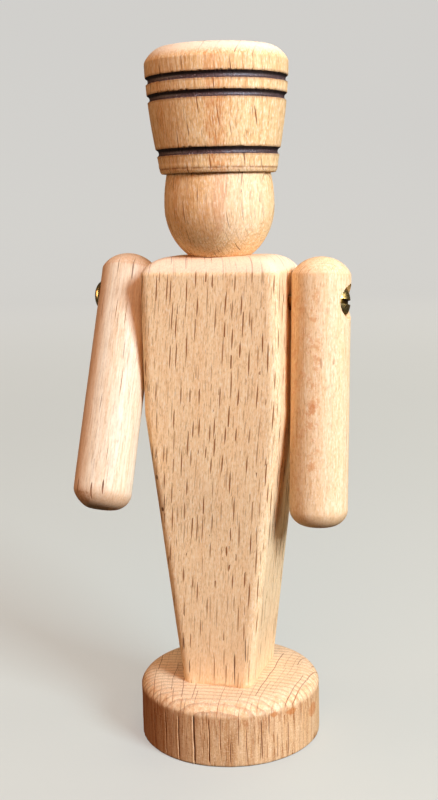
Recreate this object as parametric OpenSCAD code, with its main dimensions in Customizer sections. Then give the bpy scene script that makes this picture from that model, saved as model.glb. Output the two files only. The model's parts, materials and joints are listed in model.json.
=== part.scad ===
// Bare wooden toy soldier: a turned base, a tapered body block, a head and tall hat turned
// in one piece, and two round arms that swing on round-head brass screws.
// The origin is the middle of the base's underside. The figure faces -Y, +Z is up.

/* [Base] */
// Diameter of the turned base
base_d = 32; // [28:0.5:48]
// Thickness of the base
base_h = 11; // [10:0.5:20]
// How far the rounding of the top edge comes in from the side
base_round_in = 3.5; // [1:0.5:5]
// Height of the rounding of the top edge
base_round_h = 2; // [1:0.5:4]
// Chamfer round the underside
base_chamfer = 0.2; // [0.1:0.1:1]

/* [Body] */
// Width of the body at the shoulders
body_w = 24.1; // [20:0.1:30]
// Width of the body where it stands on the base
body_foot_w = 12.7; // [11:0.1:20]
// Depth of the body from front to back
body_d = 16.2; // [13:0.1:20]
// Height of the body
body_h = 73.8; // [65:0.1:90]
// Height up to which the two sides taper
body_taper_h = 47.4; // [30:0.1:55]
// Radius of the four long edges
body_edge_r = 1.8; // [0.5:0.1:3]
// How far the rounding of the shoulders comes in from each side
shoulder_round_in = 4.2; // [1:0.1:6]
// How far the rounding of the top comes in from the front and the back
brow_round_in = 4; // [1:0.1:5]
// Height of the rounding round the top
top_round_h = 2.7; // [1:0.1:5]

/* [Head] */
// Diameter of the head at its widest
head_d = 18.5; // [14:0.1:22]
// Height from the neck to the brim of the hat
head_h = 13.6; // [11.5:0.1:18]
// Height of the widest place above the neck
head_wide_h = 8.3; // [7:0.1:9.5]
// Half height of the oval that rounds the head below its widest place
chin_oval_h = 10; // [9.6:0.1:14]
// Half height of the oval that rounds the head above its widest place
temple_oval_h = 15.6; // [12:0.1:30]

/* [Hat] */
// Diameter of the hat at its brim
hat_brim_d = 19.9; // [19.5:0.1:24]
// How far the hat's widest place stays inside the sides of the body, so the arms swing past it
hat_side_in = 0.15; // [0.1:0.05:1.5]
// Height of the hat from the brim to the middle of its crown
hat_h = 20.4; // [20:0.1:30]
// Height of the rounding under the brim
brim_round_h = 1.6; // [0.8:0.1:2]
// How far the edge of the top is rounded inwards
crown_round_in = 2.4; // [1:0.1:5]
// Height of the rounding of the top edge
crown_round_h = 2.4; // [1:0.1:4]
// How far the middle of the top stands above its edge
crown_rise = 0.3; // [0.1:0.1:1]

/* [Burnt grooves] */
// Width of each burnt groove
groove_w = 1.15; // [0.6:0.05:1.5]
// Depth of each burnt groove
groove_depth = 0.4; // [0.2:0.05:0.5]
// Height of the lowest groove above the brim
groove_low_h = 3.4; // [3:0.1:6]
// Height of the middle groove above the brim
groove_mid_h = 12.1; // [8:0.1:13]
// Height of the top groove above the brim
groove_top_h = 14.9; // [14.5:0.1:16]

/* [Arms] */
// Diameter of the rod for the arms
arm_d = 9.9; // [9:0.1:12]
// Length of each arm
arm_l = 45; // [30:0.5:48]
// Distance from the top of the arm to its screw
arm_above_screw = 7.5; // [5:0.1:10]
// Height of the low dome on top of the arm
arm_dome_h = 3; // [1:0.1:4]
// How far the rounding of the hand end comes in
hand_round_in = 3.1; // [1:0.1:4.5]
// Height of the rounding of the hand end
hand_round_h = 2.7; // [1:0.1:4.5]
// Running gap between each arm and the body
arm_gap = 0.3; // [0.2:0.05:1]
// How far the left arm is swung forward, in degrees
left_swing = 23.5; // [-180:0.5:180]
// How far the right arm is swung forward, in degrees
right_swing = 5; // [-180:0.5:180]

/* [Screws] */
// Diameter of the screw's shank
screw_d = 2.8; // [1.5:0.1:4]
// Length of the screw below its head
screw_l = 16; // [14:0.5:17]
// Diameter of the domed head
screw_head_d = 5.4; // [4.5:0.1:7]
// Height of the domed head
screw_head_h = 1.7; // [1:0.1:2.5]
// Width of the slot in the head
slot_w = 0.8; // [0.4:0.1:1.2]
// Depth of the slot below the top of the head
slot_depth = 0.8; // [0.3:0.1:0.9]
// Distance of the left screw below the top of the body
left_screw_drop = 6.9; // [5:0.1:10]
// Distance of the right screw below the top of the body
right_screw_drop = 7.8; // [5:0.1:10]
// Depth of the seat that is bored into the left arm for the head
left_seat_depth = 1; // [0.5:0.1:3]
// Depth of the seat that is bored into the right arm for the head
right_seat_depth = 1.9; // [0.5:0.1:3]
// Clearance all round the head in its seat
seat_clear = 0.25; // [0.1:0.05:0.5]
// Running clearance all round the shank in the arm
shank_clear = 0.08; // [0.03:0.01:0.1]
// Play between the head and the bottom of its seat
head_play = 0.1; // [0.05:0.05:0.3]

/* [Dowels] */
// Diameter of the two hidden dowels
dowel_d = 6; // [3:0.5:7]
// Length of the dowel from the base into the body
foot_dowel_l = 16; // [10:0.5:18]
// How far the foot dowel goes into the base
foot_dowel_in_base = 7; // [4:0.5:8]
// Length of the dowel from the body into the head
neck_dowel_l = 20; // [12:0.5:22]
// How far the neck dowel goes into the body
neck_dowel_in_body = 10; // [5:0.5:12]
// Glue clearance all round each dowel
glue_clear = 0.05; // [0.02:0.01:0.1]
// Spare depth at the blind end of each hole
hole_spare = 0.5; // [0.2:0.1:1]

/* [Hidden] */

// Numbers of steps and sides, which are not lengths
turned_fn = 128;
bore_fn = 48;
round_steps = 8;
wall_steps = 10;

// Heights of the joints between the pieces
body_z = base_h;
neck_z = body_z + body_h;
left_screw_z = neck_z - left_screw_drop;
right_screw_z = neck_z - right_screw_drop;
arm_x = body_w / 2 + arm_gap + arm_d / 2;
hat_top_d = body_w - 2 * hat_side_in;

// The angle at which each rounding leaves the face below it, which leaves a faint crease
base_crease = 12;
dome_crease = 18;
hand_crease = 6;
// The angle of each screw's slot from upright
left_slot_turn = 35;
right_slot_turn = 80;
// The flare of the hat is steeper at the brim, and its top edge is nearly a bevel
flare_power = 1.6;
crown_power = 1.4;

// Radius of the round bottom of each burnt groove, from its width and depth
groove_r = (groove_w * groove_w / 4 + groove_depth * groove_depth) / (2 * groove_depth);

// Small sizes that belong to one piece
brim_step = 0.55;
dowel_chamfer = 0.5;
head_rim_h = 0.25;
screw_point_l = 3;
screw_point_d = 0.4;
overrun = 1;

beech = [0.89, 0.72, 0.53];
pale_beech = [0.93, 0.79, 0.62];
golden_beech = [0.86, 0.66, 0.42];
dowel_wood = [0.85, 0.7, 0.5];
brass = [0.83, 0.68, 0.3];

// Steps of a rounding, each [how far in, how far up], from [0, 0] to [inward, height]
function rounding(inward, height, crease) = [
    for (i = [0:round_steps])
        let (t = crease + (90 - crease) * i / round_steps)
            [inward * (1 - cos(t) / cos(crease)),
             height * (sin(t) - sin(crease)) / (1 - sin(crease))]
];

// Radius of the hat's flared wall at a height above the brim
wall_top_h = hat_h - crown_rise - crown_round_h;
function flare_share(h) = (h - brim_round_h) / (wall_top_h - brim_round_h);
function hat_r(h) = hat_brim_d / 2
    + (hat_top_d - hat_brim_d) / 2 * (1 - pow(1 - flare_share(h), flare_power));

// Radius of the head at a height above the neck
function head_r(h) = head_d / 2 * (h < head_wide_h
    ? sqrt(1 - pow((head_wide_h - h) / chin_oval_h, 2))
    : sqrt(1 - pow((h - head_wide_h) / temple_oval_h, 2)));

module base_disc() {
    color(beech)
    difference() {
        rotate_extrude($fn = turned_fn)
        polygon(concat(
            [[0, 0], [base_d / 2 - base_chamfer, 0], [base_d / 2, base_chamfer]],
            [for (p = rounding(base_round_in, base_round_h, base_crease))
                [base_d / 2 - p[0], base_h - base_round_h + p[1]]],
            [[0, base_h]]));
        translate([0, 0, base_h - foot_dowel_in_base - hole_spare])
        cylinder(d = dowel_d + 2 * glue_clear, h = base_h, $fn = bore_fn);
    }
}

// A round pin with a small chamfer at each end
module dowel(length) {
    rotate_extrude($fn = bore_fn)
    polygon([[0, 0], [dowel_d / 2 - dowel_chamfer, 0], [dowel_d / 2, dowel_chamfer],
        [dowel_d / 2, length - dowel_chamfer], [dowel_d / 2 - dowel_chamfer, length], [0, length]]);
}

module foot_dowel() {
    color(dowel_wood)
    translate([0, 0, body_z - foot_dowel_in_base])
    dowel(foot_dowel_l);
}

module neck_dowel() {
    color(dowel_wood)
    translate([0, 0, neck_z - neck_dowel_in_body])
    dowel(neck_dowel_l);
}

// What is cut from a top corner of an outline, so that an arc leaves the top smoothly and
// meets the side at a faint crease
module top_corner_cut(half_width, inward) {
    arc_r = (inward * inward + top_round_h * top_round_h) / (2 * top_round_h);
    for (side = [-1, 1])
        difference() {
            translate([side * (half_width + (overrun - inward) / 2), body_h + (overrun - top_round_h) / 2])
            square([inward + overrun, top_round_h + overrun], center = true);
            translate([side * (half_width - inward), body_h - arc_r])
            circle(r = arc_r, $fn = turned_fn);
        }
}

// The block seen from the front, with its tapered sides
module front_outline() {
    difference() {
        polygon([[-body_foot_w / 2, 0], [body_foot_w / 2, 0], [body_w / 2, body_taper_h],
            [body_w / 2, body_h], [-body_w / 2, body_h], [-body_w / 2, body_taper_h]]);
        top_corner_cut(body_w / 2, shoulder_round_in);
    }
}

// The block seen from the side
module side_outline() {
    difference() {
        translate([-body_d / 2, 0]) square([body_d, body_h]);
        top_corner_cut(body_d / 2, brow_round_in);
    }
}

// What is cut from a long edge, along +Z with the sharp corner at the origin
module long_edge_cut(sx, sy, height) {
    translate([0, 0, -overrun])
    linear_extrude(height + 2 * overrun)
    difference() {
        translate([sx, sy] * (overrun - body_edge_r) / 2)
        square(body_edge_r + overrun, center = true);
        translate([-sx, -sy] * body_edge_r)
        circle(r = body_edge_r, $fn = bore_fn);
    }
}

module body_form() {
    side_run = (body_w - body_foot_w) / 2;
    difference() {
        intersection() {
            rotate([90, 0, 0])
            linear_extrude(body_d, center = true) front_outline();
            rotate([90, 0, 90])
            linear_extrude(body_w, center = true) side_outline();
        }
        for (sx = [-1, 1], sy = [-1, 1]) {
            translate([sx * body_w / 2, sy * body_d / 2, body_taper_h])
            long_edge_cut(sx, sy, body_h - body_taper_h);
            translate([sx * body_foot_w / 2, sy * body_d / 2, 0])
            rotate([0, sx * atan(side_run / body_taper_h), 0])
            long_edge_cut(sx, sy, norm([side_run, body_taper_h]));
        }
    }
}

// Hole in the body for one screw: its shank is a press fit
module screw_hole(side, drop, seat_depth) {
    tip_x = arm_x + arm_d / 2 - seat_depth + head_play - screw_l - hole_spare;
    translate([side * tip_x, 0, body_h - drop])
    rotate([0, side * 90, 0])
    cylinder(d = screw_d, h = body_w, $fn = bore_fn);
}

module body_block() {
    color(beech)
    translate([0, 0, body_z])
    difference() {
        body_form();
        translate([0, 0, -overrun])
        cylinder(d = dowel_d + 2 * glue_clear,
            h = foot_dowel_l - foot_dowel_in_base + hole_spare + overrun, $fn = bore_fn);
        translate([0, 0, body_h - neck_dowel_in_body - hole_spare])
        cylinder(d = dowel_d + 2 * glue_clear, h = body_h, $fn = bore_fn);
        screw_hole(-1, left_screw_drop, left_seat_depth);
        screw_hole(1, right_screw_drop, right_seat_depth);
    }
}

// Half outline of the head and hat, from the neck up to the middle of the crown
head_outline = concat(
    [[0, 0]],
    [for (i = [0:wall_steps]) let (h = head_wide_h * i / wall_steps) [head_r(h), h]],
    [for (i = [1:round_steps]) let (h = head_wide_h + (head_h - head_wide_h) * i / round_steps)
        [head_r(h), h]],
    [for (i = [0:round_steps]) let (t = 90 * i / round_steps)
        [hat_brim_d / 2 - brim_step * (1 - sin(t)), head_h + brim_round_h * (1 - cos(t))]],
    [for (i = [1:wall_steps])
        let (h = brim_round_h + (wall_top_h - brim_round_h) * i / wall_steps)
            [hat_r(h), head_h + h]],
    [for (i = [1:round_steps]) let (t = 90 * i / round_steps)
        [hat_top_d / 2 - crown_round_in * (1 - pow(cos(t), 2 / crown_power)),
         head_h + wall_top_h + crown_round_h * pow(sin(t), 2 / crown_power)]],
    [for (i = [1:round_steps]) let (s = 1 - i / round_steps)
        [(hat_top_d / 2 - crown_round_in) * s, head_h + hat_h - crown_rise * s * s]]);

module head_and_hat() {
    color(golden_beech)
    translate([0, 0, neck_z])
    difference() {
        rotate_extrude($fn = turned_fn) polygon(head_outline);
        for (h = [groove_low_h, groove_mid_h, groove_top_h])
            rotate_extrude($fn = turned_fn)
            translate([hat_r(h) + groove_r - groove_depth, head_h + h])
            circle(r = groove_r, $fn = bore_fn);
        translate([0, 0, -overrun])
        cylinder(d = dowel_d + 2 * glue_clear,
            h = neck_dowel_l - neck_dowel_in_body + hole_spare + overrun, $fn = bore_fn);
    }
}

// An arm upright about its screw's axis, with the bore for the shank and the seat for the head
module arm(side, seat_depth) {
    arm_below = arm_l - arm_above_screw;
    hand_rounding = rounding(hand_round_in, hand_round_h, hand_crease);
    difference() {
        rotate_extrude($fn = turned_fn)
        polygon(concat(
            [[0, -arm_below]],
            [for (i = [round_steps:-1:0])
                [arm_d / 2 - hand_rounding[i][0], hand_round_h - arm_below - hand_rounding[i][1]]],
            [for (p = rounding(arm_d / 2, arm_dome_h, dome_crease))
                [arm_d / 2 - p[0], arm_above_screw - arm_dome_h + p[1]]]));
        rotate([0, 90, 0])
        cylinder(d = screw_d + 2 * shank_clear, h = arm_d + 2 * overrun, center = true,
            $fn = bore_fn);
        translate([side * (arm_d / 2 - seat_depth), 0, 0])
        rotate([0, side * 90, 0])
        cylinder(d = screw_head_d + 2 * seat_clear, h = seat_depth + overrun, $fn = bore_fn);
    }
}

module left_arm() {
    color(pale_beech)
    translate([-arm_x, 0, left_screw_z])
    rotate([-left_swing, 0, 0])
    arm(-1, left_seat_depth);
}

module right_arm() {
    color(pale_beech)
    translate([arm_x, 0, right_screw_z])
    rotate([-right_swing, 0, 0])
    arm(1, right_seat_depth);
}

// A screw along +Z with the underside of its head at zero
module screw() {
    dome_steps = 2 * round_steps;
    difference() {
        rotate_extrude($fn = bore_fn)
        polygon(concat(
            [[0, -screw_l], [screw_point_d / 2, -screw_l], [screw_d / 2, screw_point_l - screw_l],
             [screw_d / 2, 0], [screw_head_d / 2, 0]],
            [for (i = [0:dome_steps]) let (t = 90 * i / dome_steps)
                [screw_head_d / 2 * cos(t), head_rim_h + (screw_head_h - head_rim_h) * sin(t)]]));
        translate([-screw_head_d, -slot_w / 2, screw_head_h - slot_depth])
        cube([2 * screw_head_d, slot_w, screw_head_h]);
    }
}

// A screw driven into one side of the body, with its slot left at some angle from upright
module placed_screw(side, height, seat_depth, slot_turn) {
    color(brass)
    translate([side * (arm_x + arm_d / 2 - seat_depth + head_play), 0, height])
    rotate([0, side * 90, 0])
    rotate([0, 0, slot_turn])
    screw();
}

module left_arm_screw() placed_screw(-1, left_screw_z, left_seat_depth, left_slot_turn);

module right_arm_screw() placed_screw(1, right_screw_z, right_seat_depth, right_slot_turn);

base_disc();
foot_dowel();
body_block();
neck_dowel();
head_and_hat();
left_arm();
right_arm();
left_arm_screw();
right_arm_screw();
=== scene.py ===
# %% [markdown]
# # A bare wooden toy soldier
# The real figure is sawn and turned from plain beech: a round base, a tapered block for the
# body, a head and tall hat turned in one piece, and two arms cut from round rod that swing on
# brass screws. Nothing is painted, so the whole look rests on the wood: its rays, its rings,
# the marks of the lathe and three burnt grooves.
# The construction model comes first, as a fixed frame. Every visible piece below is made
# again round it as a finer mesh, and none is moved or resized.

# %% Load the fixed frame
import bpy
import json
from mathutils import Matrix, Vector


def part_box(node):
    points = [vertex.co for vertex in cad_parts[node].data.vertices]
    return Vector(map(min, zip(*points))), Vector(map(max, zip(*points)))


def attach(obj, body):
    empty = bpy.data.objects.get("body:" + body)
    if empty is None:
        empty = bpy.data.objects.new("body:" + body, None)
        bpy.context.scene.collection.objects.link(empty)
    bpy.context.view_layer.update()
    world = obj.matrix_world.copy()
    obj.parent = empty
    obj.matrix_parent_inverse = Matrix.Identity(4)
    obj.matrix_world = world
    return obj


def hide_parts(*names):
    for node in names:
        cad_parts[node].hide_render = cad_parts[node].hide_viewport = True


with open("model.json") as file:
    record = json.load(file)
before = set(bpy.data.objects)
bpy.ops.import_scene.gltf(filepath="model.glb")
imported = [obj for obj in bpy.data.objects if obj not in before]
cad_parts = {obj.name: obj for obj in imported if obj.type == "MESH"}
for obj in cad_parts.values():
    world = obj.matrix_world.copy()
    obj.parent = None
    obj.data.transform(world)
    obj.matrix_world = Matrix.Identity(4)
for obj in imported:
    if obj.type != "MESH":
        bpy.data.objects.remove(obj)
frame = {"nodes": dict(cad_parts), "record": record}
print("pieces of the frame:", ", ".join(sorted(frame["nodes"])))

# %% Units and the box to stay in
import json
import math

import bpy
import numpy as np
from mathutils import Euler
from mathutils import Matrix
from mathutils import Vector

MM = 0.001
scene = bpy.context.scene
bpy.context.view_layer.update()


def box_mm(node):
    """The lowest and highest corners of one piece of the frame, in mm."""
    low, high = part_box(node)
    return Vector(low) / MM, Vector(high) / MM


base_low, base_high = box_mm("base_disc")
body_low, body_high = box_mm("body_block")
head_low, head_high = box_mm("head_and_hat")
joints = {joint["name"]: joint for joint in frame["record"]["behaviour"]["joints"]}
print("body from", round(body_low.z, 2), "to", round(body_high.z, 2), "mm")
print("hat ends at", round(head_high.z, 2), "mm")

# %% [markdown]
# ## The camera
# The photograph was taken from close by, a little to the right of the figure and from the
# height of its head, looking slightly down. A long lens from far away would be simpler, but it
# would lose the way the base opens up below the eye while the hat is seen nearly level. So the
# camera stands where the edges of the base, the body and the grooves say that it stood.

# %% Stand the camera where the photograph was taken
camera_turn = 18.18
camera_away = 193.31
camera_height = 94.15
look_down = 10.02
look_aside = 0.25
camera_tilt = -1.37
lens_pixels = 1136.5
long_side_pixels = 800
sensor_mm = 36
nearest_seen = 10

turn = math.radians(camera_turn)
aim = math.radians(camera_turn + look_aside)
dip = math.radians(look_down)
tilt = math.radians(camera_tilt)
level_ahead = Vector((-math.sin(aim), math.cos(aim), 0))
level_right = Vector((math.cos(aim), math.sin(aim), 0))
ahead = level_ahead * math.cos(dip) - Vector((0, 0, math.sin(dip)))
above = Vector((0, 0, math.cos(dip))) + level_ahead * math.sin(dip)
right = level_right * math.cos(tilt) + above * math.sin(tilt)
up = above * math.cos(tilt) - level_right * math.sin(tilt)

camera_data = bpy.data.cameras.new("camera")
camera_data.sensor_width = sensor_mm
camera_data.lens = lens_pixels / long_side_pixels * sensor_mm
camera_data.clip_start = nearest_seen * MM
camera = bpy.data.objects.new("camera", camera_data)
scene.collection.objects.link(camera)
eye = Vector((math.sin(turn) * camera_away, -math.cos(turn) * camera_away, camera_height)) * MM
axes = Matrix((right, up, -ahead)).transposed()
camera.matrix_world = Matrix.Translation(eye) @ axes.to_4x4()
scene.camera = camera
print("lens", round(camera_data.lens, 2), "mm at", [round(v / MM, 1) for v in eye], "mm")

# %% [markdown]
# ## Floor and light
# A pale sheet lies under the figure and sweeps up far behind it on every side, so no line
# crosses the picture. A sheet that is only lit would throw light back into the wood and haze
# over the brass. So this one glows a little by itself, and neither the wood nor the brass sees
# it. One soft window to the right and above gives the shadow that the body throws to the left
# across the base. Weaker, warmer lights in front and at the left open the side that the window
# doesn't reach, one behind draws the edges, and two narrow ones give the brass its glints.

# %% Turn a pale sweep for the floor
def skin(name, rings, start=None, end=None):
    """A surface through closed rings of points in mm, with a fan to a point at either end."""
    rows, turns, _ = rings.shape
    points = rings.reshape(-1, 3)
    index = np.arange(rows * turns).reshape(rows, turns)
    beside = np.roll(index, -1, axis=1)
    faces = np.stack([index[:-1], beside[:-1], beside[1:], index[1:]], axis=-1).reshape(-1, 4).tolist()
    if start is not None:
        faces += [(beside[0, i], index[0, i], len(points)) for i in range(turns)]
        points = np.vstack([points, start])
    if end is not None:
        faces += [(index[-1, i], beside[-1, i], len(points)) for i in range(turns)]
        points = np.vstack([points, end])
    mesh = bpy.data.meshes.new(name)
    mesh.from_pydata((points * MM).tolist(), [], faces)
    mesh.shade_smooth()
    piece = bpy.data.objects.new(name, mesh)
    scene.collection.objects.link(piece)
    return piece


def turned(name, outline, turns, relief=None):
    """An outline of (radius, height) points in mm, spun round +Z. Relief changes the radius."""
    radius, height = np.array(outline, dtype=float).T
    angle = np.arange(turns) * math.tau / turns
    start = (0, 0, height[0]) if radius[0] == 0 else None
    end = (0, 0, height[-1]) if radius[-1] == 0 else None
    kept = slice(0 if start is None else 1, None if end is None else -1)
    r, h, a = np.broadcast_arrays(radius[kept, None], height[kept, None], angle[None, :])
    if relief is not None:
        r = r + relief(a, r, h)
    return skin(name, np.stack([r * np.cos(a), r * np.sin(a), h], axis=-1), start, end)


floor_r = 900
sweep_r = 500
sweep_steps = 24
floor_turns = 96
floor_outline = [(0, 0), (floor_r, 0)]
for i in range(1, sweep_steps + 1):
    t = math.pi / 2 * i / sweep_steps
    floor_outline.append((floor_r + sweep_r * math.sin(t), sweep_r * (1 - math.cos(t))))
floor = turned("floor", floor_outline, floor_turns)
print("floor with", len(floor.data.polygons), "faces")


# %% Hang the lights
aim_height = head_low.z * MM / 2


def window(name, turn_deg, rise_deg, away, wide, tall, power, colour):
    """A soft light that faces the middle of the figure. Turn 0 is in front and 90 is at +X."""
    turn = math.radians(turn_deg)
    rise = math.radians(rise_deg)
    way = Vector((math.sin(turn) * math.cos(rise), -math.cos(turn) * math.cos(rise), math.sin(rise)))
    data = bpy.data.lights.new(name, "AREA")
    data.shape = "RECTANGLE"
    data.size = wide
    data.size_y = tall
    data.energy = power
    data.color = colour
    light = bpy.data.objects.new(name, data)
    light.location = way * away + Vector((0, 0, aim_height))
    light.rotation_euler = way.to_track_quat("Z", "Y").to_euler()
    scene.collection.objects.link(light)
    return light


# Name, turn and rise in degrees, distance, width and height in m, watts, colour
lights = [
    ("key_window", 60, 29, 0.85, 0.28, 0.3, 11.9, (0.68, 0.82, 1.0)),
    ("front_fill", 22, 38, 0.5, 0.38, 0.28, 1.0, (1.0, 0.46, 0.22)),
    ("top_fill", 20, 75, 0.9, 0.6, 0.6, 1.85, (1.0, 0.8, 0.85)),
    ("back_rim", 170, 50, 0.9, 0.6, 0.4, 2.4, (1.0, 0.9, 0.7)),
    ("left_fill", -78, 16, 0.9, 0.3, 0.3, 1.3, (1.0, 0.52, 0.27)),
    ("left_glint", -62, 14, 0.9, 0.12, 0.4, 0.9, (1.0, 0.92, 0.8)),
    ("right_glint", 106, 14, 0.9, 0.3, 0.4, 1.5, (1.0, 0.88, 0.7)),
]
for light in lights:
    window(*light)

sky_colour = (1.0, 0.85, 0.7, 1)
sky_strength = 0.03
world = bpy.data.worlds.new("studio")
scene.world = world
world.use_nodes = True
sky = world.node_tree.nodes["Background"]
sky.inputs["Color"].default_value = sky_colour
sky.inputs["Strength"].default_value = sky_strength
scene.view_settings.view_transform = "Standard"

# %% [markdown]
# ## Mixing a finish
# A finish is a chain of small sums on a point of the surface. Written out node by node it is
# long and hard to follow, so this helper adds one node for each word: noise, step, mix. A
# value that is joined from another node is linked, and a plain number is set on the node.

# %% A bench for mixing finishes
def paint(red, green, blue):
    """A colour as the eye sees it, from 0 to 255 a channel, turned into light."""
    return tuple(((v / 255 + 0.055) / 1.055) ** 2.4 for v in (red, green, blue)) + (1,)


class Finish:
    """One material, mixed step by step."""

    def __init__(self, name):
        self.material = bpy.data.materials.new(name)
        self.material.use_nodes = True
        self.tree = self.material.node_tree
        self.shader = self.tree.nodes["Principled BSDF"]

    def add(self, kind, inputs, out=0, **settings):
        """Adds a node, sets or links its inputs by number or name, and gives one output."""
        node = self.tree.nodes.new("ShaderNode" + kind)
        for key, value in settings.items():
            setattr(node, key, value)
        for key, value in inputs.items():
            self.feed(node.inputs[key], value)
        return node.outputs[out]

    def feed(self, socket, value):
        if isinstance(value, bpy.types.NodeSocket):
            self.tree.links.new(value, socket)
        else:
            socket.default_value = value

    def sum(self, operation, a, b=0.0, c=0.0):
        return self.add("Math", {0: a, 1: b, 2: c}, operation=operation)

    def times(self, a, b):
        return self.sum("MULTIPLY", a, b)

    def plus(self, a, b):
        return self.sum("ADD", a, b)

    def join(self, x, y, z):
        return self.add("CombineXYZ", {0: x, 1: y, 2: z})

    def split(self, vector):
        node = self.tree.nodes.new("ShaderNodeSeparateXYZ")
        self.feed(node.inputs[0], vector)
        return tuple(node.outputs)

    def noise(self, vector, scale, detail=2.0, rough=0.5, out=0):
        """Smooth random values round 0.5, with scale waves to a mm."""
        inputs = {"Vector": vector, "Scale": scale, "Detail": detail, "Roughness": rough}
        return self.add("TexNoise", inputs, out=out)

    def step(self, value, low, high, start=0.0, end=1.0):
        """Rises smoothly from start to end while the value goes from low to high."""
        inputs = {0: value, 1: low, 2: high, 3: start, 4: end}
        return self.add("MapRange", inputs, interpolation_type="SMOOTHSTEP")

    def mix(self, share, a, b, way="MIX"):
        """Colour a, turned into colour b where the share is 1."""
        return self.add("Mix", {0: share, 6: a, 7: b}, out=2, data_type="RGBA", blend_type=way)

    def finish(self, colour, roughness, height, relief_mm, specular=0.2):
        """Joins the colour, the gloss and the fine relief to the shader."""
        bump = self.add("Bump", {"Height": height, "Distance": relief_mm * MM, "Strength": 1.0})
        self.feed(self.shader.inputs["Base Color"], colour)
        self.feed(self.shader.inputs["Roughness"], roughness)
        self.feed(self.shader.inputs["Normal"], bump)
        self.feed(self.shader.inputs["Specular IOR Level"], specular)
        return self.material


print("a grey of 128 of 255 is", round(paint(128, 128, 128)[0], 3), "of full light")

# %% Finish the floor
sheet_dark = (0.25, 0.265, 0.225, 1)
sheet_pale = (0.27, 0.285, 0.24, 1)
cloud_waves = 6.0
weave_waves = 900.0
weave_mm = 0.02
sheet_rough = 0.9
glow_colour = (1.0, 0.975, 0.945, 1)
# Distances from the middle in m, and how strongly the sheet glows at each
glow_places = (0.15, 0.9)
glow_strengths = (0.38, 0.56)

sheet = Finish("pale_sheet")
sheet_at = sheet.add("TexCoord", {}, out="Object")
sheet_colour = sheet.mix(sheet.noise(sheet_at, cloud_waves), sheet_dark, sheet_pale)
sheet.finish(sheet_colour, sheet_rough, sheet.noise(sheet_at, weave_waves), weave_mm, specular=0.1)
floor.data.materials.append(sheet.material)
from_middle = sheet.add("VectorMath", {0: sheet_at}, out="Value", operation="LENGTH")
glow = sheet.step(from_middle, *glow_places, *glow_strengths)
sheet.shader.inputs["Emission Color"].default_value = glow_colour
sheet.feed(sheet.shader.inputs["Emission Strength"], glow)
floor.visible_diffuse = False
floor.visible_glossy = False
print("floor finished as", floor.data.materials[0].name)

# %% [markdown]
# ## Beech, all the way through
# Beech is known by its rays: thin ribbons that run from the middle of the tree outwards. Cut
# across they show as short dark dashes on the front of the body, cut along as wider flakes,
# and from above as fine lines. Painting each face apart would not meet at the corners. So the
# wood is a solid: the finish first works out where a point lies in the tree, how far round,
# how far out and how far up, and then asks whether a ray or a ring passes there. Each face of
# a piece then shows its own cut of the same wood, and the lines carry on over every edge.

# %% Where a point lies in the tree
def own_place(s, put):
    """The place of a point in mm on a piece as it was made, before it was put where it goes."""
    back = put.inverted()
    at = s.add("TexCoord", {}, out="Object")
    return s.add("Mapping", {
        "Vector": at, "Scale": (1 / MM, 1 / MM, 1 / MM),
        "Rotation": back.to_euler(), "Location": back.to_translation() / MM})


# How wide a strip the grain wanders in, in mm, and how many waves it makes to a mm
sway_mm = (1.6, 1.6, 0)
sway_waves = (0.09, 0.09, 0.03)
half = (0.5, 0.5, 0.5)


def tree_place(s, heart_turn, heart_away, lean=(0.0, 0.0), put=Matrix()):
    """Distance round, up and out from the heart of the tree, in mm, and the plain place.

    The heart lies at heart_turn degrees from +X and heart_away mm from the middle of the piece,
    and lean is how far the grain tips about X and Y, in degrees.
    """
    turn = math.radians(-heart_turn - 180)
    tipped = (math.radians(lean[0]), math.radians(lean[1]), turn)
    plain_mm = own_place(s, put)
    place = s.add("Mapping", {"Vector": plain_mm, "Rotation": tipped})
    slow = s.add("Mapping", {"Vector": place, "Scale": sway_waves})
    sway = s.noise(slow, 1.0, out=1)
    sway = s.add("VectorMath", {0: sway, 1: half}, operation="SUBTRACT")
    place = s.add("VectorMath", {0: sway, 1: sway_mm, 2: place}, operation="MULTIPLY_ADD")
    x, y, z = s.split(place)
    x = s.plus(x, heart_away)
    out = s.sum("SQRT", s.plus(s.times(x, x), s.times(y, y)))
    round_mm = s.times(s.sum("ARCTAN2", y, x), heart_away)
    return {"round": round_mm, "up": z, "out": out, "at": place, "plain": plain_mm}


print("the grain wanders up to", sway_mm[0] / 2, "mm to either side")

# %% The rays
# About how far a ray runs outwards in mm, then the least length, strength and soft edge of one
ray_run_out = 9.0
shortest_share = 0.55
faintest_share = 0.4
soft_edge_share = 0.55


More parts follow.
